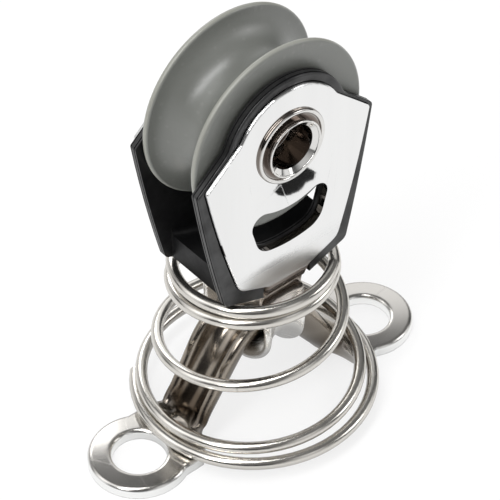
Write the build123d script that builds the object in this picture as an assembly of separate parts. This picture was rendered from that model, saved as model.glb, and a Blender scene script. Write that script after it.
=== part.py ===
from build123d import *
import os
from math import atan, cos, radians, sin, sqrt, tan

# Stand-up block: a rope sheave between two cheeks, standing on a conical spring over its deck eye strap.
# Millimetres. X runs along the eye strap, Y along the axle and Z up from the deck.
# The origin is on the deck, midway between the two screw holes.

# Deck eye strap, pressed from one strip
hole_spacing = 30.0
screw_hole_d = 5.5
pad_d = 10.4
strap_t = 1.2
strap_w = 6.2
strap_edge_angle = 82.0
leg_angle = 54.0
crown_under_z = 9.8
crown_bend_r = 3.3
foot_bend_r = 3.4
foot_edge_angle = 66.0
crown_stations = 3
leg_stations = 4
foot_stations = 6
pad_neck_w = 9.4
pad_edge_r = 0.45

# Rope sheave
sheave_d = 20.0
rope_groove_r = 3.15
sheave_crest_y = 3.5
flange_rim_t = 0.7
flange_dish = 0.25
hub_boss_d = 10.4
side_play = 0.1

# Axle: a hollow-ended rivet in a plain bearing sleeve
rivet_d = 6.0
rivet_hole_gap = 0.04
rivet_bore_d = 4.7
rivet_bore_depth = 3.4
rivet_cone_angle = 59.0
rivet_flare_d = 7.9
rivet_flare_t = 0.35
rivet_rim_w = 0.5
rivet_groove_h = 0.1
rivet_lip_d = 6.1
rivet_lip_h = 0.8
rivet_crest_w = 0.24
rivet_mouth_h = 0.32
sleeve_d = 7.4
sleeve_gap = 0.04
bearing_gap = 0.06

# Nylon body: two cheeks joined below the sheave by a web
cheek_floor_t = 0.55
plate_recess = 0.4
plate_gap = 0.08
cheek_crown_inset = 2.7
cheek_waist_depth = 0.98
cheek_shoulder_out = 0.55
cheek_flank_inset = 0.55
cheek_flank_drop = 7.6
cheek_corner_x = 7.6
cheek_corner_h = 1.9
cheek_keel_slope = 0.37
shoulder_slope = 0.885
shoulder_r = 0.35
waist_r = 2.2
cheek_corner_r = 0.9
cheek_edge_r = 0.25
web_half_x = 6.8
web_t = 2.9
throat_h = 5.2
keel_z = 18.3
throat_fillet_r = 0.8

# Steel side strap: both side plates and the bow below them are one bent strip
plate_t = 0.8
plate_crown_inset = 0.85
plate_waist_depth = 0.4
plate_shoulder_inset = 0.75
plate_flank_inset = 0.95
plate_flank_drop = 6.5
plate_corner_inset = 1.5
plate_corner_h = 3.3
plate_keel_slope = 0.42
plate_corner_r = 1.6
plate_edge_r = 0.18

# Lightening slot through plates and cheeks, a kidney about the axle
slot_inner_inset = 2.7
slot_outer_out = 1.8
slot_end_inset = 5.78
slot_end_lean = 0.28
slot_end_r = 1.3
slot_foot_r = 2.2
slot_lip = 0.15

# Bow: the lower part of the side strap, hooked under the crown of the eye strap
bow_w = 5.4
bow_edge_angle = 74.0
bow_side_gap = 0.4
bow_crown_gap = 0.08
fold_drop = 1.3
bow_side_edge_angle = 40.0
joggle_stations = 4
side_stations = 5
bend_stations = 4
notch_gap = 0.25

# Conical spring, wound from one wire
wire_d = 1.25
spring_foot_gap = 1.04
spring_top_r = 7.95
spring_turns = 4.48
spring_start_angle = 136.0
spring_seat_gap = 0.05
closed_pitch_bottom = 1.0
closed_pitch_top = 1.3
taper_start = 0.2
taper_end = 3.5
rise_start = 1.0
rise_full = 1.75
fall_start = 2.85
fall_end = 3.45
points_per_turn = 12

# Heights and side view of the block, which follow the sheave
sheave_r = sheave_d / 2
web_top_r = sheave_r + throat_h
axle_z = keel_z + web_t + web_top_r
cheek_crown_r = sheave_r - cheek_crown_inset
cheek_shoulder_x = sheave_r + cheek_shoulder_out
cheek_flank = (sheave_r - cheek_flank_inset, -cheek_flank_drop)
cheek_corner = (cheek_corner_x, keel_z + cheek_corner_h - axle_z)
plate_crown_r = cheek_crown_r - plate_crown_inset
plate_shoulder_x = cheek_shoulder_x - plate_shoulder_inset
plate_flank = (cheek_flank[0] - plate_flank_inset, -plate_flank_drop)
plate_corner = (cheek_corner_x - plate_corner_inset, keel_z + plate_corner_h - axle_z)
slot_inner_r = sheave_r - slot_inner_inset
slot_outer_r = sheave_r + slot_outer_out
slot_half = sheave_r - slot_end_inset

# Eye strap: where the crown's bend, the leg and the foot's bend meet
crown_centre_z = crown_under_z - crown_bend_r
leg_top_x = crown_bend_r * sin(radians(leg_angle))
leg_top_z = crown_centre_z + crown_bend_r * cos(radians(leg_angle))
leg_foot_z = foot_bend_r * (1 - cos(radians(leg_angle)))
leg_foot_x = leg_top_x + (leg_top_z - leg_foot_z) / tan(radians(leg_angle))
foot_end_x = leg_foot_x + foot_bend_r * sin(radians(leg_angle))
spring_bottom_r = foot_end_x + wire_d / 2 + spring_foot_gap

# Planes along the axle that the block is stacked on
flange_face_y = sheave_crest_y + flange_rim_t / 2
hub_face_y = flange_face_y + flange_dish / 2
cheek_inner_y = hub_face_y + side_play
plate_seat_y = cheek_inner_y + cheek_floor_t
cheek_outer_y = plate_seat_y + plate_recess
plate_outer_y = plate_seat_y + plate_t

# The bow: its clear half width, the centre of its bend and the height where the strap folds in under the plate
bow_side_y = strap_w / 2 + bow_side_gap
bow_bottom_z = crown_under_z - bow_crown_gap
bow_centre_z = bow_bottom_z + bow_side_y
fold_z = axle_z + plate_corner[1] - plate_keel_slope * (plate_corner[0] - bow_w / 2)
joggle_end_z = fold_z - fold_drop


def channel(width, sheet, edge_angle):
    # Section of a strip curled to a trough: the middle of its back at the origin, its edges towards +Y
    cap_r = sheet / 2
    a = radians(edge_angle)
    half = width / 2 - cap_r * cos(a)
    shares = [i / 3 for i in range(-3, 4)]
    if edge_angle == 0:
        outer = [(half * s, 0) for s in shares]
        inner = [(half * s, sheet) for s in shares]
    else:
        r = half / sin(a)
        outer = [(r * sin(a * s), r * (1 - cos(a * s))) for s in shares]
        inner = [((r - sheet) * sin(a * s), r - (r - sheet) * cos(a * s)) for s in shares]
    crest_x = (outer[-1][0] + inner[-1][0]) / 2 + cap_r * cos(a)
    crest_y = (outer[-1][1] + inner[-1][1]) / 2 + cap_r * sin(a)
    back = Spline(*outer)
    right = ThreePointArc(outer[-1], (crest_x, crest_y), inner[-1])
    face = Spline(*reversed(inner))
    left = ThreePointArc(inner[0], (-crest_x, crest_y), outer[0])
    return make_face([back, right, face, left])


def smooth(share):
    s = min(max(share, 0.0), 1.0)
    return s * s * (3 - 2 * s)


def smooth_area(share):
    s = min(max(share, 0.0), 1.0)
    return s**3 - s**4 / 2 + max(share - 1.0, 0.0)


def make_eye_strap():
    a = radians(leg_angle)
    right = []
    for i in range(1, crown_stations + 1):
        t = a * i / crown_stations
        z = crown_centre_z + crown_bend_r * cos(t)
        right.append((crown_bend_r * sin(t), z, t, strap_edge_angle, strap_w))
    for i in range(1, leg_stations + 1):
        share = i / leg_stations
        x = leg_top_x + (leg_foot_x - leg_top_x) * share
        z = leg_top_z + (leg_foot_z - leg_top_z) * share
        edge = strap_edge_angle - (strap_edge_angle - foot_edge_angle) * smooth(share)
        right.append((x, z, a, edge, strap_w))
    for i in range(1, foot_stations + 1):
        share = i / foot_stations
        t = a * (1 - share)
        edge = foot_edge_angle * (1 - smooth(share))
        width = strap_w + (pad_neck_w - strap_w) * smooth(share)
        right.append((foot_end_x - foot_bend_r * sin(t), foot_bend_r * (1 - cos(t)), t, edge, width))
    left = [(-x, z, -t, edge, width) for x, z, t, edge, width in reversed(right)]
    middle = [(0.0, crown_under_z, 0.0, strap_edge_angle, strap_w)]
    sections = []
    for x, z, t, edge, width in left + middle + right:
        station = Plane(origin=(x, 0, z), x_dir=(0, 1, 0), z_dir=(cos(t), 0, -sin(t)))
        sections.append(station * channel(width, strap_t, edge))
    strap = loft(sections)
    neck_l = hole_spacing / 2 - foot_end_x
    for side in (-1, 1):
        neck = Pos(-side * neck_l / 2, 0) * Rectangle(neck_l, pad_neck_w)
        outline = neck + Circle(pad_d / 2)
        outline -= Pos(-side * (neck_l + pad_d), 0) * Rectangle(pad_d * 2, pad_d * 2)
        outline -= Circle(screw_hole_d / 2)
        pad = extrude(outline, strap_t)
        top = pad.faces().sort_by(Axis.Z)[-1]
        rims = [rim for rim in top.edges() if abs(rim.center().X + side * neck_l) > 0.01]
        pad = fillet(rims, pad_edge_r)
        strap += Pos(side * hole_spacing / 2, 0, 0) * pad
    return strap


def spring_rise(n, open_pitch):
    # Height gained after n turns: closed turns at both ends and open ones between them
    up = (rise_full - rise_start) * smooth_area((n - rise_start) / (rise_full - rise_start))
    down = (fall_end - fall_start) * smooth_area((n - fall_start) / (fall_end - fall_start))
    rise = closed_pitch_bottom * n
    rise += (open_pitch - closed_pitch_bottom) * up
    rise -= (open_pitch - closed_pitch_top) * down
    return rise


def make_spring():
    bottom_z = strap_t + wire_d / 2 + spring_seat_gap
    cheek_mid_y = (cheek_inner_y + cheek_outer_y) / 2
    seat_x = sqrt(spring_top_r**2 - cheek_mid_y**2)
    seat_z = axle_z + cheek_corner[1] - cheek_keel_slope * (cheek_corner[0] - seat_x)
    top_z = seat_z - wire_d / 2 - spring_seat_gap
    closed = spring_rise(spring_turns, 0.0)
    per_pitch = spring_rise(spring_turns, 1.0) - closed
    open_pitch = (top_z - bottom_z - closed) / per_pitch
    count = round(spring_turns * points_per_turn)
    points = []
    for i in range(count + 1):
        n = spring_turns * i / count
        r = spring_bottom_r - (spring_bottom_r - spring_top_r) * smooth((n - taper_start) / (taper_end - taper_start))
        a = radians(spring_start_angle + 360 * n)
        points.append((r * cos(a), r * sin(a), bottom_z + spring_rise(n, open_pitch)))
    wire = Spline(*points)
    section = Plane(origin=wire @ 0, z_dir=wire % 0) * Circle(wire_d / 2)
    return sweep(section, path=wire, is_frenet=True)


def round_corners(face, corners, radius):
    near = [face.vertices().sort_by_distance(Vector(x, z, 0))[0] for x, z in corners]
    return fillet(near, radius)


def both_sides(*points):
    return [(side * x, z) for side in (-1, 1) for x, z in points]


def block_outline(crown_r, waist_depth, shoulder_x, flank, corner, keel_slope, corner_r):
    # Side view of a plate or cheek about the axle: round crown, sloped shoulders, tapering flanks and keel
    slope = shoulder_slope
    rise = (crown_r - waist_depth) * sqrt(1 + slope**2)
    shoulder = (shoulder_x, rise - slope * shoulder_x)
    root = sqrt((slope * rise) ** 2 - (1 + slope**2) * (rise**2 - crown_r**2))
    waist_x = (slope * rise + root) / (1 + slope**2)
    waist = (waist_x, rise - slope * waist_x)
    apex = (0, corner[1] - keel_slope * corner[0])
    left = [(-x, z) for x, z in (corner, flank, shoulder, waist)]
    edges = [
        Line(waist, shoulder),
        ThreePointArc(shoulder, flank, corner),
        Line(corner, apex),
        Line(apex, left[0]),
        ThreePointArc(left[0], left[1], left[2]),
        Line(left[2], left[3]),
        Line(left[3], waist),
    ]
    face = make_face(edges) + Circle(crown_r)
    face = round_corners(face, both_sides(waist), waist_r)
    face = round_corners(face, both_sides(shoulder), shoulder_r)
    return round_corners(face, both_sides(corner), corner_r)


def plate_outline(margin=0.0):
    face = block_outline(
        plate_crown_r,
        plate_waist_depth,
        plate_shoulder_x,
        plate_flank,
        plate_corner,
        plate_keel_slope,
        plate_corner_r,
    )
    return offset(face, margin) if margin else face


def cheek_outline():
    face = block_outline(
        cheek_crown_r,
        cheek_waist_depth,
        cheek_shoulder_x,
        cheek_flank,
        cheek_corner,
        cheek_keel_slope,
        cheek_corner_r,
    )
    keel = Pos(0, keel_z - axle_z - cheek_crown_r) * Rectangle(cheek_crown_r * 4, cheek_crown_r * 2)
    return face - keel


def slot_outline(margin=0.0):
    middle = (slot_inner_r + slot_outer_r) / 2
    reach = middle - 0.3 * slot_inner_r
    wide = slot_half + margin + slot_end_lean * reach
    narrow = slot_half + margin - slot_end_lean * reach
    ends = Polyline(
        (wide, reach - middle),
        (narrow, -reach - middle),
        (-narrow, -reach - middle),
        (-wide, reach - middle),
        close=True,
    )
    face = make_face(ends) & (Circle(slot_outer_r + margin) - Circle(slot_inner_r - margin))
    room = 0.84 * (slot_outer_r - slot_inner_r + 2 * margin)
    share = min(1.0, room / (slot_end_r + slot_foot_r))
    foot_half = slot_half - slot_end_lean * (slot_outer_r - middle)
    foot_r = min(slot_foot_r * share, 0.7 * foot_half)
    lowest = face.vertices().sort_by(Axis.Y)[:2]
    face = fillet(lowest, foot_r)
    highest = face.vertices().sort_by(Axis.Y)[-2:]
    return fillet(highest, slot_end_r * share)


def at_side(face, near_y, far_y):
    # A slab of the side view between two distances from the middle, on the side of near_y
    start = Plane(origin=(0, near_y, axle_z), x_dir=(1, 0, 0), z_dir=(0, -1, 0))
    return extrude(start * face, near_y - far_y)


def make_cheek(side):
    outline = cheek_outline()
    cheek = at_side(outline, side * cheek_inner_y, side * cheek_outer_y)
    outside = cheek.faces().sort_by(Axis.Y)[0 if side < 0 else -1]
    cheek = fillet(outside.edges(), cheek_edge_r)
    recess = at_side(plate_outline(plate_gap), side * plate_seat_y, side * (cheek_outer_y + plate_recess))
    slot = at_side(slot_outline(-slot_lip), side * 0.5 * cheek_inner_y, side * (cheek_outer_y + plate_recess))
    bore_r = rivet_d / 2 + rivet_hole_gap
    bore = at_side(Circle(bore_r), side * 0.5 * cheek_inner_y, side * (cheek_outer_y + plate_recess))
    return cheek - recess - slot - bore


def make_body():
    body = make_cheek(-1) + make_cheek(1)
    band = Rectangle(web_half_x * 2, axle_z * 2)
    web = at_side(cheek_outline() & band, -cheek_inner_y, cheek_inner_y)
    # The throat under the sheave is part of a drum about the axle with rounded edges
    drum_face = RectangleRounded(web_top_r * 2, cheek_inner_y * 2, throat_fillet_r)
    drum_face &= Pos(web_top_r, 0) * Rectangle(web_top_r * 2, axle_z)
    drum_plane = Plane(origin=(0, 0, axle_z), x_dir=(1, 0, 0), z_dir=(0, 0, 1))
    drum = revolve(drum_plane * drum_face, Axis((0, 0, axle_z), (0, 1, 0)))
    body += web - drum
    # Notches for the side strap where it folds in under the cheeks
    notch_top = fold_z + plate_t
    notch_w = bow_w + 2 * notch_gap
    notch_in = bow_side_y - notch_gap
    depth = plate_outer_y - notch_in
    for side in (-1, 1):
        block = Box(notch_w, depth * 2, notch_top * 2)
        body -= Pos(0, side * (notch_in + depth), 0) * block
    return body


def make_side_strap():
    bore_r = rivet_d / 2 + rivet_hole_gap
    face = plate_outline() - slot_outline() - Circle(bore_r)
    face -= Pos(0, fold_z - axle_z - plate_crown_r) * Rectangle(bow_w, plate_crown_r * 2)
    step_y = plate_seat_y - bow_side_y
    near = []
    for i in range(joggle_stations + 1):
        share = i / joggle_stations
        lean = atan(step_y * 6 * share * (1 - share) / fold_drop)
        near.append((-plate_seat_y + step_y * smooth(share), fold_z - fold_drop * share, lean, 0.0))
    for i in range(1, side_stations + 1):
        share = i / side_stations
        z = joggle_end_z + (bow_centre_z - joggle_end_z) * share
        near.append((-bow_side_y, z, 0.0, bow_side_edge_angle * smooth(share)))
    for i in range(1, bend_stations):
        share = i / bend_stations
        t = radians(90 * share)
        edge = bow_side_edge_angle + (bow_edge_angle - bow_side_edge_angle) * sin(t)
        near.append((-bow_side_y * cos(t), bow_centre_z - bow_side_y * sin(t), t, edge))
    bottom = [(0.0, bow_bottom_z, radians(90), bow_edge_angle)]
    far = [(-y, z, radians(180) - t, edge) for y, z, t, edge in reversed(near)]
    sections = []
    for y, z, t, edge in near + bottom + far:
        station = Plane(origin=(0, y, z), x_dir=(1, 0, 0), z_dir=(0, sin(t), -cos(t)))
        sections.append(station * channel(bow_w, plate_t, edge))
    strap = loft(sections)
    for side in (-1, 1):
        plate = at_side(face, side * plate_seat_y, side * plate_outer_y)
        outside = plate.faces().sort_by(Axis.Y)[0 if side < 0 else -1]
        rims = [rim for rim in outside.outer_wire().edges() if rim.center().Z > fold_z + 0.01]
        strap += fillet(rims, plate_edge_r)
    return strap


def make_rivet():
    # Half profile about the axle: x is the radius, y the distance from the middle
    top = plate_outer_y
    lip = top + rivet_lip_h
    groove = top + rivet_groove_h
    mouth = top + rivet_mouth_h
    shank = rivet_d / 2
    bore = rivet_bore_d / 2
    flare = rivet_flare_d / 2
    lip_r = rivet_lip_d / 2
    floor = lip - rivet_bore_depth
    cone = floor - bore / tan(radians(rivet_cone_angle))
    rim = flare - rivet_rim_w
    crest = lip_r - rivet_crest_w
    crest_z = lip - rivet_crest_w / 2
    right = [
        Line((0, 0), (shank, 0)),
        Line((shank, 0), (shank, top)),
        Line((shank, top), (flare, top)),
        ThreePointArc((flare, top), ((flare + rim) / 2, top + rivet_flare_t), (rim, groove)),
        Line((rim, groove), (lip_r, groove)),
        Line((lip_r, groove), (lip_r, crest_z)),
        ThreePointArc((lip_r, crest_z), ((lip_r + crest) / 2, lip), (crest, crest_z)),
        Line((crest, crest_z), (bore, mouth)),
        Line((bore, mouth), (bore, floor)),
        Line((bore, floor), (0, cone)),
        Line((0, cone), (0, 0)),
    ]
    half = Plane(origin=(0, 0, axle_z), x_dir=(1, 0, 0), z_dir=(0, 0, 1)) * make_face(right)
    end = revolve(half, Axis((0, 0, axle_z), (0, 1, 0)))
    return end + mirror(end, Plane.XZ)


def make_sleeve():
    ring = Circle(sleeve_d / 2) - Circle(rivet_d / 2 + sleeve_gap)
    return at_side(ring, -cheek_inner_y, cheek_inner_y)


def make_sheave():
    # Half section about the axle: x is the radius, y the distance from the middle
    rim_r = sheave_r
    bore = sleeve_d / 2 + bearing_gap
    boss = hub_boss_d / 2
    edge_r = rim_r - flange_rim_t / 2
    face_y = flange_face_y
    groove_y = sheave_crest_y - flange_rim_t / 2
    dish_y = flange_face_y - flange_dish
    section = [
        Line((bore, -hub_face_y), (bore, hub_face_y)),
        Line((bore, hub_face_y), (boss, hub_face_y)),
        Line((boss, hub_face_y), (boss + flange_dish, dish_y)),
        Line((boss + flange_dish, dish_y), (edge_r, face_y)),
        ThreePointArc((edge_r, face_y), (rim_r, sheave_crest_y), (edge_r, groove_y)),
        ThreePointArc((edge_r, groove_y), (rim_r - rope_groove_r, 0), (edge_r, -groove_y)),
        ThreePointArc((edge_r, -groove_y), (rim_r, -sheave_crest_y), (edge_r, -face_y)),
        Line((edge_r, -face_y), (boss + flange_dish, -dish_y)),
        Line((boss + flange_dish, -dish_y), (boss, -hub_face_y)),
        Line((boss, -hub_face_y), (bore, -hub_face_y)),
    ]
    half = Plane(origin=(0, 0, axle_z), x_dir=(1, 0, 0), z_dir=(0, 0, 1)) * make_face(section)
    return revolve(half, Axis((0, 0, axle_z), (0, 1, 0)))


nodes = {
    "eye_strap": make_eye_strap(),
    "spring": make_spring(),
    "side_strap": make_side_strap(),
    "block_body": make_body(),
    "axle_rivet": make_rivet(),
    "bearing_sleeve": make_sleeve(),
    "sheave": make_sheave(),
}
os.makedirs("parts", exist_ok=True)
for name, solid in nodes.items():
    export_step(solid, f"parts/{name}.step")
    print(name, round(solid.volume, 2))
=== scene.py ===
import bpy
from math import ceil, cos, radians, sin
from mathutils import Matrix, Vector


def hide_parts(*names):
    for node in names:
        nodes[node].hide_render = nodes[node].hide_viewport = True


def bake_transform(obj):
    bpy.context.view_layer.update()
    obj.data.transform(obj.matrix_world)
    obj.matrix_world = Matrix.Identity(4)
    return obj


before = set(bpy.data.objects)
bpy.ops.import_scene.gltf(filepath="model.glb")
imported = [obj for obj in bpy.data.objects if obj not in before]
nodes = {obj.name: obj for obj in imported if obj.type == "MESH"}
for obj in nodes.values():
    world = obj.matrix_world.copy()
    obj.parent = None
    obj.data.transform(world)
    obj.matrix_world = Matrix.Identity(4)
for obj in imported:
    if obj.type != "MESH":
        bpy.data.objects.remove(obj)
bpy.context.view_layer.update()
mm = 0.001
print("stand-up block: frame loaded")


# Helpers for node trees. An input is a value, or another node's output that feeds it.
def feed(tree, node, inputs):
    for name, value in inputs.items():
        if isinstance(value, bpy.types.NodeSocket):
            tree.links.new(value, node.inputs[name])
        else:
            node.inputs[name].default_value = value


def addNode(tree, kind, place, inputs=None, **settings):
    node = tree.nodes.new(kind)
    node.location = place
    for name, value in settings.items():
        setattr(node, name, value)
    feed(tree, node, inputs or {})
    return node


def addMath(tree, operation, place, *terms, clamp=False):
    inputs = dict(enumerate(terms))
    node = addNode(tree, "ShaderNodeMath", place, inputs, operation=operation, use_clamp=clamp)
    return node.outputs[0]


def addRange(tree, place, value, start, full, low, high, **settings):
    # low up to start, high from full on
    inputs = {"Value": value, "From Min": start, "From Max": full, "To Min": low, "To Max": high}
    return addNode(tree, "ShaderNodeMapRange", place, inputs, **settings).outputs[0]


def addNoise(tree, place, vector, scale, detail, roughness=0.5, distortion=0.0):
    inputs = {
        "Vector": vector, "Scale": scale, "Detail": detail,
        "Roughness": roughness, "Distortion": distortion,
    }
    return addNode(tree, "ShaderNodeTexNoise", place, inputs).outputs["Fac"]


def addReach(tree, place, vector, mapping, kind="POINT"):
    # Distance from the point that the mapping moves to its origin
    moved = addNode(
        tree, "ShaderNodeMapping", place, {"Vector": vector, **mapping}, vector_type=kind
    ).outputs["Vector"]
    beside = (place[0] + 200, place[1])
    node = addNode(tree, "ShaderNodeVectorMath", beside, {0: moved}, operation="LENGTH")
    return node.outputs["Value"]


def addBands(tree, place, share, bands):
    ramp = addNode(tree, "ShaderNodeValToRGB", place, {"Fac": share})
    stops = ramp.color_ramp.elements
    stops[0].position, stops[0].color = bands[0]
    stops[1].position, stops[1].color = bands[-1]
    for bandPlace, bandColour in bands[1:-1]:
        stops.new(bandPlace).color = bandColour
    return ramp.outputs["Color"]


def mixColours(tree, place, share, first, second, blend="MIX"):
    inputs = {"Factor": share, 6: first, 7: second}
    node = addNode(tree, "ShaderNodeMix", place, inputs, data_type="RGBA", blend_type=blend)
    return node.outputs[2]


def mixShaders(tree, place, share, first, second):
    inputs = {0: share, 1: first, 2: second}
    return addNode(tree, "ShaderNodeMixShader", place, inputs).outputs[0]


def grey(level):
    return (level, level, level, 1)


# Shared effects
def startGroup(name, sockets):
    group = bpy.data.node_groups.new(name, "ShaderNodeTree")
    for socketName, kind, value in sockets:
        socket = group.interface.new_socket(socketName, in_out="INPUT", socket_type=kind)
        socket.default_value = value
    group.interface.new_socket("Color", in_out="OUTPUT", socket_type="NodeSocketColor")
    group.interface.new_socket("Roughness", in_out="OUTPUT", socket_type="NodeSocketFloat")
    group.interface.new_socket("Height", in_out="OUTPUT", socket_type="NodeSocketFloat")
    start = addNode(group, "NodeGroupInput", (-900, 0))
    end = addNode(group, "NodeGroupOutput", (900, 0))
    return group, start.outputs, end


hairline = {
    "stretch": (1.0, 0.35, 2.4), "scale": 230.0, "width": 0.006, "gloss": 0.25, "depth": -0.01,
}
cloudShade = {"low": 0.9, "high": 1.06}


def makeMetalSkin():
    # Faint drawing or polishing lines, cloudy gloss and a few hairline scratches
    group, start, end = startGroup("metalSkin", (
        ("Vector", "NodeSocketVector", (0, 0, 0)),
        ("Line Scale", "NodeSocketFloat", 400.0),
        ("Line Amount", "NodeSocketFloat", 0.5),
        ("Cloud Scale", "NodeSocketFloat", 160.0),
        ("Gloss", "NodeSocketFloat", 0.08),
        ("Gloss Spread", "NodeSocketFloat", 0.06),
        ("Scratches", "NodeSocketFloat", 0.3),
        ("Form Scale", "NodeSocketFloat", 150.0),
        ("Form Amount", "NodeSocketFloat", 0.3),
        ("Tint", "NodeSocketColor", (0.7, 0.7, 0.7, 1)),
    ))
    vector = start["Vector"]
    lines = addNoise(group, (-600, 200), vector, start["Line Scale"], detail=3.0, roughness=0.55)
    clouds = addNoise(group, (-600, -50), vector, start["Cloud Scale"], detail=4.0, roughness=0.6)
    form = addNoise(group, (-600, 500), vector, start["Form Scale"], detail=1.0, roughness=0.4)

    stretched = addNode(
        group, "ShaderNodeVectorMath", (-800, -300), {0: vector, 1: hairline["stretch"]},
        operation="MULTIPLY",
    ).outputs[0]
    cells = addNode(
        group, "ShaderNodeTexVoronoi", (-600, -300),
        {"Vector": stretched, "Scale": hairline["scale"]}, feature="DISTANCE_TO_EDGE",
    ).outputs["Distance"]
    hairs = addMath(group, "LESS_THAN", (-400, -300), cells, hairline["width"])
    scratched = addMath(group, "MULTIPLY", (-200, -300), hairs, start["Scratches"])

    cloudGloss = addMath(group, "MULTIPLY", (-350, -50), clouds, start["Gloss Spread"])
    gloss = addMath(group, "ADD", (-150, 0), start["Gloss"], cloudGloss)
    rough = addMath(
        group, "MULTIPLY_ADD", (50, 0), scratched, hairline["gloss"], gloss, clamp=True)

    lineHeight = addMath(group, "MULTIPLY", (-150, 200), lines, start["Line Amount"])
    cutHeight = addMath(
        group, "MULTIPLY_ADD", (50, 350), scratched, hairline["depth"], lineHeight)
    height = addMath(group, "MULTIPLY_ADD", (250, 400), form, start["Form Amount"], cutHeight)

    shade = addRange(group, (-150, -500), clouds, 0.0, 1.0, cloudShade["low"], cloudShade["high"])
    tint = addNode(
        group, "ShaderNodeVectorMath", (200, -450), {0: start["Tint"], "Scale": shade},
        operation="SCALE",
    ).outputs[0]
    feed(group, end, {"Color": tint, "Roughness": rough, "Height": height})
    return group


specks = {"scale": 900.0, "core": 0.1, "edge": 0.22}


def makeMouldSkin():
    # Moulded plastic: fine grain, slow colour drift and pale specks
    group, start, end = startGroup("mouldSkin", (
        ("Vector", "NodeSocketVector", (0, 0, 0)),
        ("Grain Scale", "NodeSocketFloat", 900.0),
        ("Drift Scale", "NodeSocketFloat", 90.0),
        ("Drift", "NodeSocketFloat", 0.1),
        ("Gloss", "NodeSocketFloat", 0.35),
        ("Gloss Spread", "NodeSocketFloat", 0.12),
        ("Speck", "NodeSocketFloat", 0.2),
        ("Tint", "NodeSocketColor", (0.3, 0.3, 0.3, 1)),
        ("Speck Tint", "NodeSocketColor", (0.5, 0.5, 0.5, 1)),
    ))
    vector = start["Vector"]
    grain = addNoise(group, (-600, 250), vector, start["Grain Scale"], detail=5.0, roughness=0.65)
    drift = addNoise(group, (-600, 0), vector, start["Drift Scale"], detail=3.0, distortion=0.4)
    cells = addNode(
        group, "ShaderNodeTexVoronoi", (-600, -250),
        {"Vector": vector, "Scale": specks["scale"], "Randomness": 1.0}, feature="F1",
    ).outputs["Distance"]
    dots = addRange(group, (-400, -250), cells, specks["core"], specks["edge"], 1.0, 0.0)
    speckled = addMath(group, "MULTIPLY", (-200, -250), dots, start["Speck"], clamp=True)

    # the drift goes as far down as up, about the tint itself
    centred = addMath(group, "SUBTRACT", (-400, 0), drift, 0.5)
    shade = addMath(group, "MULTIPLY_ADD", (-200, 0), centred, start["Drift"], 1.0)
    tint = addNode(
        group, "ShaderNodeVectorMath", (0, 0), {0: start["Tint"], "Scale": shade},
        operation="SCALE",
    ).outputs[0]
    colour = mixColours(group, (250, 0), speckled, tint, start["Speck Tint"])
    rough = addMath(
        group, "MULTIPLY_ADD", (0, 250), grain, start["Gloss Spread"], start["Gloss"], clamp=True)
    feed(group, end, {"Color": colour, "Roughness": rough, "Height": grain})
    return group


metalSkin = makeMetalSkin()
mouldSkin = makeMouldSkin()
print("shared effects made")


# Materials
def startMaterial(name):
    material = bpy.data.materials.new(name)
    material.use_nodes = True
    tree = material.node_tree
    place = addNode(tree, "ShaderNodeTexCoord", (-1100, 0)).outputs
    return material, tree, tree.nodes["Principled BSDF"], place


def addPaintedShade(tree, place, paintedShade, colour, rough):
    # Bands of painted shade in the colour, and of roughness where they are given, by the distance
    # from a centre
    away = addReach(tree, (-900, -500), place["Object"], {
        "Location": (0, 0, -paintedShade["centre"]), "Scale": paintedShade["axes"],
    })
    share = addMath(tree, "DIVIDE", (-550, -500), away, paintedShade["reach"])
    bands = addBands(tree, (-400, -500), share, paintedShade["bands"])
    colour = mixColours(tree, (-150, -400), 1.0, colour, bands, "MULTIPLY")
    if "rough" in paintedShade:
        roughBands = addBands(tree, (-400, -750), share, paintedShade["rough"])
        rough = addMath(tree, "ADD", (-150, -650), rough, roughBands, clamp=True)
    return colour, rough


def addSlot(tree, place, slot, colour, normal):
    # The slot's cut edge stays sharp, and its wall is darkened with painted shade
    span = addReach(tree, (-1100, -1500), place["Object"], {
        "Location": (0, 0, -slot["height"] / slot["tall"]),
        "Scale": (1 / slot["wide"], 0, 1 / slot["tall"]),
    })
    inside = addMath(tree, "LESS_THAN", (-700, -1500), span, 1.0)
    plain = addNode(tree, "ShaderNodeNewGeometry", (-700, -1300)).outputs["Normal"]
    sharp = addNode(
        tree, "ShaderNodeMix", (-450, -1300), {"Factor": inside, 4: normal, 5: plain},
        data_type="VECTOR",
    ).outputs[1]
    facing = addNode(tree, "ShaderNodeSeparateXYZ", (-900, -1750), {0: place["Normal"]}).outputs
    flatness = addMath(tree, "MULTIPLY", (-700, -1750), facing["Y"], facing["Y"])
    upright = addMath(tree, "LESS_THAN", (-550, -1750), flatness, slot["flatFrom"])
    wallShade = addMath(tree, "MULTIPLY", (-400, -1650), inside, upright)
    colour = mixColours(tree, (-200, -1500), wallShade, colour, slot["wallShade"], "MULTIPLY")
    return colour, sharp


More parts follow.
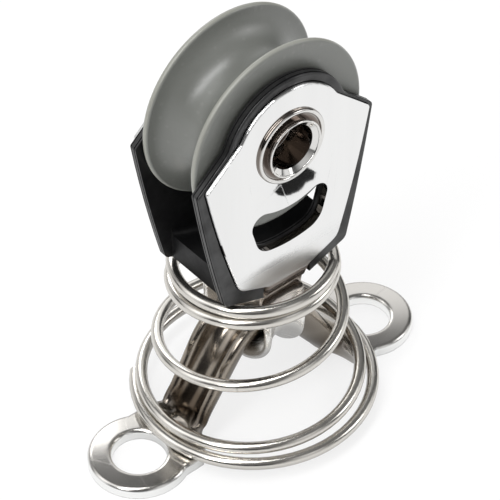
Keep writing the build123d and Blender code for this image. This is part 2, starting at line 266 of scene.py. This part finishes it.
def addPads(tree, place, pads, colour, rough, height):
    parts = addNode(tree, "ShaderNodeSeparateXYZ", (-1000, -700), {0: place["Object"]}).outputs
    side = addMath(tree, "ABSOLUTE", (-850, -700), parts["X"])
    start, full = pads["start"], pads["full"]
    # the trough between the pads is darker with painted shade, and the pads a little less glossy
    wearAndHighlight = addRange(tree, (-650, -800), side, start, full, pads["troughGloss"], pads["padGloss"])
    rough = addMath(tree, "ADD", (-450, -800), rough, wearAndHighlight, clamp=True)
    trough = addRange(tree, (-650, -1050), side, start, full, 1.0, 0.0)
    colour = mixColours(tree, (-400, -1050), trough, colour, pads["troughShade"], "MULTIPLY")
    # the pads' upright edges get a painted highlight, the brightest part of the strip
    facing = addNode(tree, "ShaderNodeSeparateXYZ", (-850, -1600), {0: place["Normal"]}).outputs
    level = addMath(tree, "ABSOLUTE", (-650, -1600), facing["Z"])
    edge = addRange(tree, (-500, -1600), level, pads["edgeFull"], pads["edgeStart"], 1.0, 0.0)
    pad = addMath(tree, "SUBTRACT", (-500, -1850), 1.0, trough)
    highlight = addMath(tree, "MULTIPLY", (-300, -1650), edge, pad)
    colour = mixColours(tree, (-100, -1050), highlight, colour, pads["edgeHighlight"])
    # each pad is a little domed about its screw hole
    along = addMath(tree, "SUBTRACT", (-650, -1300), side, pads["centre"])
    spot = addNode(
        tree, "ShaderNodeCombineXYZ", (-500, -1300), {"X": along, "Y": parts["Y"]}).outputs[0]
    reachSquared = addNode(
        tree, "ShaderNodeVectorMath", (-350, -1300), {0: spot, 1: spot}, operation="DOT_PRODUCT",
    ).outputs["Value"]
    limited = addMath(tree, "MINIMUM", (-200, -1300), reachSquared, pads["reach"] ** 2)
    height = addMath(tree, "MULTIPLY_ADD", (-50, -1300), limited, -pads["dome"], height)
    return colour, rough, height


skinBump = {"Strength": 1.0, "Distance": 0.0001}
edgeSamples = 6


def metalMaterial(name, look):
    material, tree, shader, place = startMaterial(name)
    stretched = addNode(
        tree, "ShaderNodeMapping", (-900, 0), {"Vector": place["Object"], "Scale": look["stretch"]})
    skin = addNode(tree, "ShaderNodeGroup", (-600, 0), {
        "Vector": stretched.outputs["Vector"],
        "Line Scale": look["lineScale"],
        "Line Amount": look["lineAmount"],
        "Cloud Scale": look["cloudScale"],
        "Gloss": look["gloss"],
        "Gloss Spread": look["glossSpread"],
        "Scratches": look["scratches"],
        "Form Scale": look["formScale"],
        "Form Amount": look["formAmount"],
        "Tint": look["tint"],
    }, node_tree=metalSkin).outputs
    colour, rough, height = skin["Color"], skin["Roughness"], skin["Height"]
    if "paintedShade" in look:
        colour, rough = addPaintedShade(tree, place, look["paintedShade"], colour, rough)
    normal = None
    if "edgeRound" in look:
        normal = addNode(
            tree, "ShaderNodeBevel", (-500, -250), {"Radius": look["edgeRound"]},
            samples=edgeSamples,
        ).outputs["Normal"]
    if "slot" in look:
        colour, normal = addSlot(tree, place, look["slot"], colour, normal)
    if "pads" in look:
        colour, rough, height = addPads(tree, place, look["pads"], colour, rough, height)
    bump = addNode(tree, "ShaderNodeBump", (-300, -250), {**skinBump, "Height": height})
    if normal is not None:
        feed(tree, bump, {"Normal": normal})
    feed(tree, shader, {
        "Base Color": colour, "Metallic": 1.0, "Roughness": rough,
        "Normal": bump.outputs["Normal"],
    })
    return material


def addCheeks(tree, place, cheeks, specular, height):
    # The cheeks shine more towards their outer faces, with dark parting lines between
    parts = addNode(tree, "ShaderNodeSeparateXYZ", (-800, -500), {0: place["Object"]}).outputs
    out = addMath(tree, "ABSOLUTE", (-650, -500), parts["Y"])
    shine = addRange(
        tree, (-500, -200), out, cheeks["sheenStart"], cheeks["sheenFull"],
        cheeks["sheenLow"], specular,
    )
    for count, offset in enumerate(cheeks["lines"]):
        row = -500 - 180 * count
        line = addMath(tree, "COMPARE", (-500, row), out, offset, cheeks["lineWidth"])
        height = addMath(tree, "MULTIPLY_ADD", (-350, row), line, cheeks["lineHeight"], height)
        shine = addMath(tree, "SUBTRACT", (-200, row - 100), shine, line, clamp=True)
    patches = addNoise(tree, (-500, 150), place["Object"], cheeks["patchScale"], detail=3.0)
    mottle = addRange(
        tree, (-350, 150), patches, cheeks["patchStart"], cheeks["patchFull"],
        cheeks["patchLow"], cheeks["patchHigh"],
    )
    return addMath(tree, "MULTIPLY", (-150, 100), shine, mottle), height


def addRim(tree, place, rim, colour):
    # The flanges' rims are paler with a painted highlight along their crests
    away = addReach(tree, (-800, 500), place["Object"], {
        "Location": (0, 0, -rim["centre"]), "Scale": (1, 0, 1),
    })
    wearAndHighlight = addRange(tree, (-450, 500), away, rim["start"], rim["full"], 0.0, 1.0)
    return mixColours(tree, (-250, 400), wearAndHighlight, colour, rim["tint"])


coatRoughness = 0.3


def mouldMaterial(name, look):
    material, tree, shader, place = startMaterial(name)
    skin = addNode(tree, "ShaderNodeGroup", (-600, 0), {
        "Vector": place["Object"],
        "Grain Scale": look["grainScale"],
        "Drift Scale": look["driftScale"],
        "Drift": look["drift"],
        "Gloss": look["gloss"],
        "Gloss Spread": look["glossSpread"],
        "Speck": look["speck"],
        "Tint": look["tint"],
        "Speck Tint": look["speckTint"],
    }, node_tree=mouldSkin).outputs
    colour, height, specular = skin["Color"], skin["Height"], look["specular"]
    if "cheeks" in look:
        specular, height = addCheeks(tree, place, look["cheeks"], specular, height)
    if "rim" in look:
        colour = addRim(tree, place, look["rim"], colour)
    bump = addNode(tree, "ShaderNodeBump", (-300, -250), {
        "Strength": look["bump"], "Distance": look["bumpDepth"], "Height": height,
    })
    feed(tree, shader, {
        "Base Color": colour, "Roughness": skin["Roughness"], "Specular IOR Level": specular,
        "Coat Weight": look["coat"], "Coat Roughness": coatRoughness,
        "Normal": bump.outputs["Normal"],
    })
    return material


# Lengths in metres and noise scales per metre. Every gloss is a roughness: 0 is a mirror.
polishedPlate = {
    "tint": (0.9, 0.9, 0.895, 1), "stretch": (1.0, 1.0, 0.12),
    "lineScale": 2200.0, "lineAmount": 0.006, "cloudScale": 140.0,
    "gloss": 0.01, "glossSpread": 0.035, "scratches": 0.25,
    "formScale": 170.0, "formAmount": 0.12, "edgeRound": 0.00035,
    # painted shade and dark reflection in the fold where the plate meets the bow
    "paintedShade": {
        "centre": 0.0, "axes": (0, 0, 1), "reach": 0.05,
        "bands": (
            (0.0, grey(1)), (0.29, (1, 0.98, 0.95, 1)), (0.37, (0.36, 0.29, 0.24, 1)),
            (0.398, (0.3, 0.24, 0.2, 1)), (0.408, grey(1)), (1.0, grey(1)),
        ),
        "rough": (
            (0.0, grey(0.2)), (0.3, grey(0.2)), (0.36, grey(0.1)), (0.4, grey(0.3)),
            (0.45, grey(0.26)), (0.485, grey(0)), (1.0, grey(0)),
        ),
    },
    "slot": {
        "height": 0.0288, "tall": 0.005, "wide": 0.0082, "flatFrom": 0.5,
        # the wall's colour is painted shade in the slot
        "wallShade": (0.1, 0.09, 0.08, 1),
    },
}
pressedStrip = {
    "tint": (0.66, 0.64, 0.61, 1), "stretch": (0.6, 1.0, 1.0),
    "lineScale": 1800.0, "lineAmount": 0.008, "cloudScale": 260.0,
    "gloss": 0.06, "glossSpread": 0.12, "scratches": 0.3,
    "formScale": 240.0, "formAmount": 0.2, "edgeRound": 0.0003,
    # painted shade and dark reflection low on the strip, at the foot of its trough
    "paintedShade": {
        "centre": 0.0, "axes": (0, 0, 1), "reach": 0.015,
        "bands": (
            (0.0, grey(1)), (0.12, grey(1)), (0.16, (0.35, 0.3, 0.26, 1)),
            (0.27, (0.4, 0.35, 0.3, 1)), (0.42, (0.95, 0.93, 0.9, 1)), (1.0, grey(1)),
        ),
    },
    "pads": {
        "centre": 0.015, "reach": 0.0058, "start": 0.009, "full": 0.0115, "dome": 100000.0,
        # the trough's tint is painted shade, the edges' tint a painted highlight
        "troughGloss": 0.06, "padGloss": 0.07, "troughShade": (0.56, 0.52, 0.475, 1),
        "edgeFull": 0.3, "edgeStart": 0.9, "edgeHighlight": (0.97, 0.97, 0.96, 1),
    },
}
drawnWire = {
    "tint": (0.73, 0.705, 0.66, 1), "stretch": (1.0, 1.0, 3.0),
    "lineScale": 1500.0, "lineAmount": 0.02, "cloudScale": 420.0,
    "gloss": 0.14, "glossSpread": 0.16, "scratches": 0.1,
    "formScale": 300.0, "formAmount": 0.06,
}
turnedRivet = {
    "tint": (0.8, 0.79, 0.77, 1), "stretch": (1.0, 0.4, 1.0),
    "lineScale": 1500.0, "lineAmount": 0.015, "cloudScale": 300.0,
    "gloss": 0.07, "glossSpread": 0.08, "scratches": 0.2,
    "formScale": 300.0, "formAmount": 0.05,
    # painted shade in the rivet's bore, in the groove and at the edge of its head
    "paintedShade": {
        "centre": 0.0364, "axes": (1, 0, 1), "reach": 0.005,
        "bands": (
            (0.0, (0.11, 0.08, 0.06, 1)), (0.462, (0.07, 0.05, 0.04, 1)), (0.472, grey(1)),
            (0.6, grey(1)), (0.612, (0.18, 0.14, 0.12, 1)), (0.68, (0.35, 0.32, 0.3, 1)),
            (0.695, grey(1)), (0.765, grey(1)), (0.79, (0.25, 0.22, 0.2, 1)),
        ),
    },
}
blackNylon = {
    "tint": (0.006, 0.006, 0.0065, 1), "speckTint": (0.03, 0.03, 0.032, 1),
    "grainScale": 1400.0, "driftScale": 120.0, "drift": 0.5,
    "gloss": 0.3, "glossSpread": 0.2, "speck": 0.1,
    "bump": 0.5, "bumpDepth": 0.00003, "specular": 0.75, "coat": 0.0,
    "cheeks": {
        "lines": (0.0043, 0.0048), "lineWidth": 0.00006, "lineHeight": -3.0,
        "sheenStart": 0.0037, "sheenFull": 0.0042, "sheenLow": 0.15,
        "patchScale": 420.0, "patchStart": 0.35, "patchFull": 0.65,
        "patchLow": 0.6, "patchHigh": 1.2,
    },
}
greyAcetal = {
    "tint": (0.15, 0.155, 0.142, 1), "speckTint": (0.31, 0.315, 0.29, 1),
    "grainScale": 1600.0, "driftScale": 70.0, "drift": 0.3,
    "gloss": 0.3, "glossSpread": 0.2, "speck": 0.12,
    "bump": 0.5, "bumpDepth": 0.00004, "specular": 0.65, "coat": 0.5,
    # the rims' paler tint is a painted highlight along the flanges' crests
    "rim": {"centre": 0.0364, "start": 0.00983, "full": 0.00996, "tint": (0.27, 0.272, 0.24, 1)},
}
plateSteel = metalMaterial("polished plate steel", polishedPlate)
strapSteel = metalMaterial("pressed strap steel", pressedStrip)
wireSteel = metalMaterial("drawn spring wire", drawnWire)
rivetSteel = metalMaterial("turned rivet steel", turnedRivet)
nylon = mouldMaterial("black nylon", blackNylon)
acetal = mouldMaterial("grey acetal", greyAcetal)
for nodeName, material in (
    ("eye_strap", strapSteel),
    ("side_strap", plateSteel),
    ("axle_rivet", rivetSteel),
    ("bearing_sleeve", rivetSteel),
    ("block_body", nylon),
    ("sheave", acetal),
):
    for materialSlot in nodes[nodeName].material_slots:
        materialSlot.material = material
print("materials made")


# Conical spring, in two halves. Lengths in mm, angles in degrees.
spring = {
    "wire": 1.25, "bottomRadius": 12.199, "topRadius": 7.95, "turns": 4.48, "startAngle": 136.0,
    "bottomHeight": 1.875, "topHeight": 19.125, "closedBottom": 1.0, "closedTop": 1.3,
    "taperStart": 0.2, "taperEnd": 3.5,
    "opensFrom": 1.0, "opensBy": 1.75, "closesFrom": 2.85, "closesBy": 3.45,
    "cutHeight": 10.0, "stepsPerTurn": 64, "wireSteps": 7, "mergeWithin": 0.002, "smoothBelow": 50,
}


def easeIn(share):
    s = min(max(share, 0.0), 1.0)
    return s * s * (3 - 2 * s)


def easeArea(share):
    # Area below easeIn, from 0 to share
    s = min(max(share, 0.0), 1.0)
    return s**3 - s**4 / 2 + max(share - 1.0, 0.0)


def springRise(turn, openPitch):
    # The pitch opens from the closed turns at the bottom and closes again at the top
    opening = spring["opensBy"] - spring["opensFrom"]
    closing = spring["closesBy"] - spring["closesFrom"]
    opened = opening * easeArea((turn - spring["opensFrom"]) / opening)
    closed = closing * easeArea((turn - spring["closesFrom"]) / closing)
    return (
        spring["closedBottom"] * turn
        + (openPitch - spring["closedBottom"]) * opened
        - (openPitch - spring["closedTop"]) * closed
    )


def springPoint(turn, openPitch):
    taper = easeIn((turn - spring["taperStart"]) / (spring["taperEnd"] - spring["taperStart"]))
    radius = spring["bottomRadius"] - (spring["bottomRadius"] - spring["topRadius"]) * taper
    angle = radians(spring["startAngle"] + 360 * turn)
    height = spring["bottomHeight"] + springRise(turn, openPitch)
    return Vector((radius * cos(angle), radius * sin(angle), height)) * mm


def makeSpringHalf(name, firstTurn, lastTurn, openPitch):
    steps = ceil((lastTurn - firstTurn) * spring["stepsPerTurn"])
    curve = bpy.data.curves.new(name, "CURVE")
    curve.dimensions = "3D"
    curve.bevel_depth = spring["wire"] / 2 * mm
    curve.bevel_resolution = spring["wireSteps"]
    curve.use_fill_caps = True
    curve.twist_mode = "Z_UP"
    line = curve.splines.new("POLY")
    line.points.add(steps)
    for i, point in enumerate(line.points):
        turn = firstTurn + (lastTurn - firstTurn) * i / steps
        point.co = (*springPoint(turn, openPitch), 1)
    half = bpy.data.objects.new(name, curve)
    bpy.context.scene.collection.objects.link(half)
    bpy.ops.object.select_all(action="DESELECT")
    half.select_set(True)
    bpy.context.view_layer.objects.active = half
    bpy.ops.object.convert(target="MESH")
    half = bpy.context.object
    bpy.ops.object.mode_set(mode="EDIT")
    bpy.ops.mesh.select_all(action="SELECT")
    bpy.ops.mesh.remove_doubles(threshold=spring["mergeWithin"] * mm)
    bpy.ops.mesh.normals_make_consistent(inside=False)
    bpy.ops.object.mode_set(mode="OBJECT")
    bpy.ops.object.shade_smooth_by_angle(angle=radians(spring["smoothBelow"]))
    half.data.materials.clear()
    half.data.materials.append(wireSteel)
    return half


# the open pitch is the one that takes the last turn to its height
closedRise = springRise(spring["turns"], 0.0)
risePerPitch = springRise(spring["turns"], 1.0) - closedRise
openPitch = (spring["topHeight"] - spring["bottomHeight"] - closedRise) / risePerPitch
cutTurn = 0.0
while springPoint(cutTurn, openPitch).z < spring["cutHeight"] * mm:
    cutTurn += 1 / spring["stepsPerTurn"]
lowerSpring = makeSpringHalf("springLower", 0.0, cutTurn, openPitch)
upperSpring = makeSpringHalf("springUpper", cutTurn, spring["turns"], openPitch)
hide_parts("spring")
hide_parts("spring")
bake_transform(lowerSpring)
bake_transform(upperSpring)
print("spring wound, open pitch", round(openPitch, 3), "cut at turn", round(cutTurn, 3))


# Studio: pale floor, soft light and a camera at the photograph's angle
floorLook = {
    "size": 1.2, "colour": grey(0.95), "rough": 0.9, "white": 0.75,
    "dimInner": 0.006, "dimOuter": 0.02, "dimLevel": 0.4, "mirrorLevel": 0.95,
    "cardPlace": (0.0243, -0.0326, 0), "cardSize": (0.0046, 0.0021, 1), "cardTurn": -7,
    "cardLevel": 0.02, "cardSoftEdge": 1.06, "raggedScale": 500.0, "ragged": 0.7,
}


def makeFloor():
    look = floorLook
    bpy.ops.object.select_all(action="DESELECT")
    bpy.ops.mesh.primitive_plane_add(size=look["size"], location=(0, 0, 0))
    floor = bpy.context.object
    floor.name = "studioFloor"
    material, tree, shader, place = startMaterial("pale floor")
    feed(tree, shader, {
        "Base Color": look["colour"], "Roughness": look["rough"], "Specular IOR Level": 0.0,
    })
    # the camera sees a white sheet that keeps a soft part of the shadow
    white = addNode(tree, "ShaderNodeEmission", (-200, 100)).outputs[0]
    sheet = mixShaders(tree, (100, 150), look["white"], shader.outputs[0], white)
    # reflections see a dim spot below the object, a dark card in front of it and white around them
    away = addNode(
        tree, "ShaderNodeVectorMath", (-700, -300), {0: place["Object"]}, operation="LENGTH")
    ring = addRange(
        tree, (-500, -300), away.outputs["Value"], look["dimInner"], look["dimOuter"],
        look["dimLevel"], look["mirrorLevel"], interpolation_type="SMOOTHSTEP",
    )
    cardReach = addReach(tree, (-900, -600), place["Object"], {
        "Location": look["cardPlace"],
        "Rotation": (0, 0, radians(look["cardTurn"])),
        "Scale": look["cardSize"],
    }, "TEXTURE")
    noise = addNoise(tree, (-1100, -600), place["Object"], look["raggedScale"], detail=2.0)
    ragged = addMath(tree, "MULTIPLY_ADD", (-550, -600), noise, look["ragged"], cardReach)
    card = addRange(
        tree, (-400, -600), ragged, 1.0, look["cardSoftEdge"], look["cardLevel"], 1.0,
        interpolation_type="SMOOTHSTEP",
    )
    level = addMath(tree, "MULTIPLY", (-250, -400), ring, card)
    mirrored = addNode(tree, "ShaderNodeEmission", (-100, -400), {"Color": level}).outputs[0]
    paths = addNode(tree, "ShaderNodeLightPath", (-100, 400)).outputs
    seen = mixShaders(tree, (300, 100), paths["Is Camera Ray"], shader.outputs[0], sheet)
    surface = mixShaders(tree, (500, 0), paths["Is Glossy Ray"], seen, mirrored)
    feed(tree, tree.nodes["Material Output"], {"Surface": surface})
    floor.data.materials.append(material)


worldLook = {"level": 0.6, "horizon": 0.03, "sky": 0.16, "skyStart": 0.1, "skyFull": 0.75}
# Soft boxes that only show in reflections: direction, inner and outer half angle, level
softBoxes = (
    ((0.6, 0.62, 0.42), 10, 27, 1.0),
    ((-0.6, 0.25, 0.76), 12, 26, 0.9),
    ((0.85, -0.45, 0.3), 9, 20, 0.9),
    ((-0.85, 0.45, 0.25), 9, 22, 0.8),
    ((0.1, -0.75, 0.62), 6, 14, 0.7),
    ((-0.55, 0.56, 0.6), 9, 24, 0.8),
    ((0.05, -1.0, 0.06), 13, 34, 0.6),
    ((-0.05, 1.0, 0.06), 13, 34, 0.6),
)


def makeWorld():
    world = bpy.data.worlds.new("soft studio")
    bpy.context.scene.world = world
    world.use_nodes = True
    tree = world.node_tree
    tree.nodes.clear()
    around = addNode(tree, "ShaderNodeTexCoord", (-900, 0)).outputs["Generated"]
    parts = addNode(tree, "ShaderNodeSeparateXYZ", (-700, 0), {0: around}).outputs
    total = addRange(
        tree, (-500, 0), parts["Z"], worldLook["skyStart"], worldLook["skyFull"],
        worldLook["horizon"], worldLook["sky"], interpolation_type="SMOOTHSTEP",
    )
    for count, (direction, inner, outer, level) in enumerate(softBoxes):
        row = -200 - 200 * count
        facing = addNode(
            tree, "ShaderNodeVectorMath", (-500, row),
            {0: around, 1: Vector(direction).normalized()}, operation="DOT_PRODUCT",
        ).outputs["Value"]
        box = addRange(
            tree, (-300, row), facing, cos(radians(outer)), cos(radians(inner)), 0.0, level,
            interpolation_type="SMOOTHSTEP",
        )
        total = addMath(tree, "ADD", (-100, row), total, box)
    soft = addNode(
        tree, "ShaderNodeBackground", (200, 200),
        {"Color": grey(1), "Strength": worldLook["level"]},
    )
    white = addNode(tree, "ShaderNodeBackground", (200, 50), {"Color": grey(1), "Strength": 1.0})
    mirrored = addNode(tree, "ShaderNodeBackground", (200, -100), {"Color": total})
    paths = addNode(tree, "ShaderNodeLightPath", (0, 500)).outputs
    lit = mixShaders(
        tree, (450, 100), paths["Is Glossy Ray"], soft.outputs[0], mirrored.outputs[0])
    surface = mixShaders(tree, (650, 100), paths["Is Camera Ray"], lit, white.outputs[0])
    addNode(tree, "ShaderNodeOutputWorld", (900, 0), {"Surface": surface})


lamps = {
    "key": {"place": (-0.22, -0.06, 0.4), "size": (0.1, 0.54), "power": 1.5},
    "fill": {"place": (0.34, -0.3, 0.26), "size": (0.16, 0.16), "power": 0.28},
    "back": {"place": (0.1, 0.42, 0.28), "size": (0.2, 0.2), "power": 0.4},
}
lampAim = (0, 0, 0.025)


def makeLamp(name, look):
    lamp = bpy.data.lights.new(name, "AREA")
    lamp.shape = "RECTANGLE"
    lamp.size, lamp.size_y = look["size"]
    lamp.energy = look["power"]
    holder = bpy.data.objects.new(name, lamp)
    bpy.context.scene.collection.objects.link(holder)
    holder.location = look["place"]
    aim = Vector(lampAim) - Vector(look["place"])
    holder.rotation_euler = aim.to_track_quat("-Z", "Y").to_euler()


# angles in degrees, lengths in mm, the focal length in the photograph's pixels
view = {
    "azimuth": -39.587, "elevation": 43.021, "roll": -0.566,
    "shiftRight": -0.474, "shiftUp": 14.286, "distance": 240.0,
    "focalPixels": 2333, "photoWidth": 500, "sensor": 36, "clip": (0.01, 10),
}


def makeCamera():
    azimuth, elevation, roll = (radians(view[name]) for name in ("azimuth", "elevation", "roll"))
    back = Vector((
        sin(azimuth) * cos(elevation), -cos(azimuth) * cos(elevation), sin(elevation)))
    level = Vector((cos(azimuth), sin(azimuth), 0))
    upright = back.cross(level)
    right = level * cos(roll) + upright * sin(roll)
    up = upright * cos(roll) - level * sin(roll)
    place = (right * view["shiftRight"] + up * view["shiftUp"] + back * view["distance"]) * mm
    camera = bpy.data.cameras.new("photo view")
    camera.lens = view["focalPixels"] / view["photoWidth"] * view["sensor"]
    camera.sensor_width = view["sensor"]
    camera.clip_start, camera.clip_end = view["clip"]
    holder = bpy.data.objects.new("photo view", camera)
    bpy.context.scene.collection.objects.link(holder)
    turned = Matrix((right, up, back)).transposed().to_4x4()
    holder.matrix_world = Matrix.Translation(place) @ turned
    bpy.context.scene.camera = holder


makeFloor()
makeWorld()
for lampName, lampLook in lamps.items():
    makeLamp(lampName, lampLook)
makeCamera()
bpy.context.scene.view_settings.view_transform = "Standard"
print("studio made")
